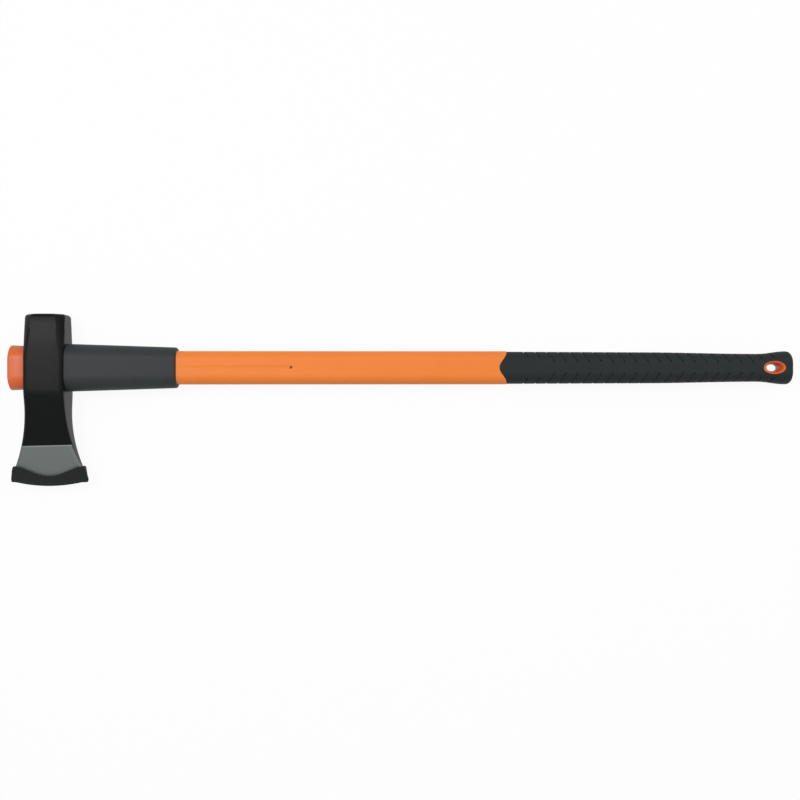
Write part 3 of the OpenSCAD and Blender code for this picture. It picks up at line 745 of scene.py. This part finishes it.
for a in range(10, 91, 10):
    t = 1 - math.cos(math.radians(a))
    hoop(FACE * math.sin(math.radians(a)),
         mix(THROAT_LENGTH, MOUTH_LENGTH, t), mix(THROAT_HEIGHT, MOUTH_HEIGHT, t))
for turn in (45, 90):
    wall = EYELET_WALL * (1 - math.cos(math.radians(turn))) / 2 + EYELET_WALL / 2
    hoop(FACE + EYELET_SINK * (0.6 if turn == 45 else 0.2), MOUTH_LENGTH + 2 * wall, MOUTH_HEIGHT + 2 * wall)
hoop(0, MOUTH_LENGTH + 2 * EYELET_WALL, MOUTH_HEIGHT + 2 * EYELET_WALL)
bpy.ops.object.mode_set(mode="OBJECT")
reshape(eyelet, lambda x, y, z: (x, y, z / FACE * (grip_face(x, y) - EYELET_SINK)))
bpy.ops.object.mode_set(mode="EDIT")
bpy.ops.mesh.select_all(action="SELECT")
bpy.ops.mesh.duplicate()
bpy.ops.transform.resize(value=(1, 1, -1), center_override=middle)
bpy.ops.mesh.select_all(action="SELECT")
finish(eyelet, "maul", "deep_orange_plastic", deep_orange, "hanging_eyelet")

# ---- Blade guard ----
# A stiff black moulding that slips over the ground bit. Its pocket has straight ends, so that it pulls off the
# flared edge in a straight line, and its lip dips in the middle where a thumb pushes it.

GUARD_LOW, GUARD_HIGH = span("blade_guard", 1)
GUARD_GAP, GUARD_WALL, LIP_WALL, GUARD_CORNER = 0.4, 2.8, 1, 1.2
TOE_WALL, HEEL_WALL = 3.5, 4.3
LIP_DROP = -GUARD_HIGH
LIP_DIP = ARC_HEIGHT - 7.5
GUARD_COLUMNS = 28
# The lower side follows the arc of the edge this far out, and the lip is rounded at both ends
ARC_REACH, EAR_ROUND = 38, 5


def guard_ends(drop, inset=0):
    t = clamp((drop - LIP_DROP) / ARC_HEIGHT)
    return (-TOE_REACH - GUARD_GAP - mix(LIP_WALL, TOE_WALL, math.sqrt(t)) + inset,
            HEEL_REACH + GUARD_GAP + mix(LIP_WALL, HEEL_WALL, t) - inset)


def guard_half(drop):
    return cheek(min(drop, EDGE_DROP)) + GUARD_GAP + GUARD_WALL


guard = block("guard", guard_ends(LIP_DROP), (-LIP_DROP - 2, -LIP_DROP), both_sides(2 * guard_half(LIP_DROP)))
pick_edges(1)
bpy.ops.mesh.bevel(offset=5 * MM, segments=6, affect="EDGES")
pick_edges(0)
bpy.ops.mesh.subdivide(number_cuts=GUARD_COLUMNS - 1)
pick(lambda x, y, z: y < -LIP_DROP - 1)
fit(x=guard_ends(LIP_DROP + 2), z=both_sides(2 * guard_half(LIP_DROP + 2)))
for i in range(1, 9):
    drop = mix(LIP_DROP + 2, EDGE_DROP, i / 8)
    draw(guard_ends(drop), (-drop, -drop), both_sides(2 * guard_half(drop)))
for a in range(15, 91, 15):
    inset = GUARD_CORNER * (1 - math.cos(math.radians(a)))
    drop = mix(EDGE_DROP, -GUARD_LOW, math.sin(math.radians(a)))
    draw(guard_ends(EDGE_DROP, inset), (-drop, -drop), both_sides(2 * (guard_half(EDGE_DROP) - inset)))
# Over the rounded lip and down the pocket
pick(lambda x, y, z: y > -LIP_DROP - 0.01)
pocket = (-TOE_REACH - GUARD_GAP, HEEL_REACH + GUARD_GAP)
fit(y=(-LIP_DROP - 0.5,) * 2)
draw(guard_ends(LIP_DROP, 0.4), (-LIP_DROP,) * 2, both_sides(2 * (guard_half(LIP_DROP) - 0.5)))
draw(guard_ends(LIP_DROP, 1), (-LIP_DROP,) * 2, both_sides(2 * (guard_half(LIP_DROP) - GUARD_WALL + 0.5)))
for i in range(8):
    drop = mix(LIP_DROP + 0.5, EDGE_DROP, i / 7)
    draw(pocket, (-drop, -drop), both_sides(2 * (cheek(drop) + GUARD_GAP)))
bpy.ops.object.mode_set(mode="OBJECT")


def slipped_on(x, y, z):
    """Dips the lip in the middle and follows the arc of the cutting edge below it."""
    drop = -y
    edge_x = (HEEL_REACH - TOE_REACH) / 2
    half = edge_x + TOE_REACH + GUARD_GAP
    bell = math.cos(math.pi / 2 * min(1, abs(x - edge_x) / half)) ** 1.5
    rise = EDGE_RADIUS - math.sqrt(EDGE_RADIUS ** 2 - min(ARC_REACH, abs(x - edge_x)) ** 2)
    t = clamp((drop - LIP_DROP) / ARC_HEIGHT)
    ear = clamp((abs(x - edge_x) - half + EAR_ROUND / 2) / EAR_ROUND)
    lower = drop + (1 - t) * (LIP_DIP * bell + EAR_ROUND * (1 - math.sqrt(1 - ear ** 2)))
    inside = pocket[0] - 0.05 < x < pocket[1] + 0.05 and abs(z) < cheek(drop) + GUARD_GAP + 0.05
    wall = GUARD_GAP if inside else GUARD_GAP + GUARD_WALL
    z *= (cheek(min(lower, EDGE_DROP)) + wall) / (cheek(min(drop, EDGE_DROP)) + wall)
    return x, t * rise - lower, z


reshape(guard, slipped_on)

# Stiff moulded rubber, dull, with the blasted grain of its mould and faint rub marks
guard_rubber = moulding("moulded_guard_rubber", 0.12, ("#191d1c", "#1f2322"), cloud=(10, 3),
                        roughness=(0.5, 0.62), grain=(0.6, 0.4, 0.04))
finish(guard, "guard", "guard_rubber", guard_rubber, "blade_guard")

# ---- Floor, light and camera ----
# The maul lies on a plain white floor under soft studio light, and is seen from straight above.

bpy.ops.mesh.primitive_plane_add(size=12)
floor = bpy.context.object
floor.name = "floor"
floor_paint = bpy.data.materials.new("white_floor")
floor_paint.use_nodes = True
nodes, wires = floor_paint.node_tree.nodes, floor_paint.node_tree.links
matt = nodes["Principled BSDF"]
matt.inputs["Base Color"].default_value = (0.8, 0.8, 0.8, 1)
matt.inputs["Roughness"].default_value = 0.9
matt.inputs["Specular IOR Level"].default_value = 0.1
glow = add(floor_paint, "ShaderNodeEmission", {"Color": (1, 1, 1, 1), "Strength": 1})


def looked_at(owner):
    """1 for rays that look at a surface, straight on or in metal or glass, and 0 for rays that light it."""
    rays = add(owner, "ShaderNodeLightPath")
    direct = add(owner, "ShaderNodeMath", {"operation": "MAXIMUM"},
                 {0: rays.outputs["Is Camera Ray"], 1: rays.outputs["Is Glossy Ray"]})
    return add(owner, "ShaderNodeMath", {"operation": "MAXIMUM"},
               {0: direct.outputs[0], 1: rays.outputs["Is Transmission Ray"]}).outputs[0]


# Most of what the eye sees of the floor is its white, and the rest keeps the shadow of the maul
share = add(floor_paint, "ShaderNodeMath", {"operation": "MULTIPLY", 1: 0.93}, {0: looked_at(floor_paint)})
both = add(floor_paint, "ShaderNodeMixShader", links={"Fac": share.outputs[0]})
wires.new(matt.outputs[0], both.inputs[1])
wires.new(glow.outputs[0], both.inputs[2])
wires.new(both.outputs[0], nodes["Material Output"].inputs["Surface"])
floor.data.materials.append(floor_paint)
floor.select_set(False)

world = bpy.data.worlds.new("studio")
bpy.context.scene.world = world
world.use_nodes = True
sky = world.node_tree.nodes["Background"]
sky.inputs["Color"].default_value = (1, 1, 1, 1)
level = add(world, "ShaderNodeMapRange", {"To Min": 0.5, "To Max": 1.0}, {"Value": looked_at(world)})
world.node_tree.links.new(level.outputs[0], sky.inputs["Strength"])


def lamp(name, place, target, size, power):
    """Hangs a soft box, as long and as wide as its size says, that looks at a target."""
    bpy.ops.object.light_add(type="AREA", location=place)
    light = bpy.context.object
    light.name = name
    light.data.shape, light.data.energy = "RECTANGLE", power
    light.data.size, light.data.size_y = size
    light.rotation_euler = (Vector(target) - Vector(place)).to_track_quat("-Z", "Y").to_euler()
    light.select_set(False)


lamp("strip", (0, 0.45, 1.55), (0, 0, 0), (2.2, 0.4), 10)
lamp("key", (1.3, 0.6, 1.1), (0, 0, 0), (0.8, 0.8), 6)
lamp("poll", (-0.85, 0.3, 1.5), (-0.4, 0.07, 0), (0.3, 0.3), 8)

bpy.ops.object.camera_add(location=(0.0002, 0.0003, 1.474), rotation=(0, 0, 0))
camera = bpy.context.object
camera.name = "camera"
camera.data.sensor_width, camera.data.lens = 36, 56.9
bpy.context.scene.camera = camera
bpy.context.scene.view_settings.view_transform = "Standard"
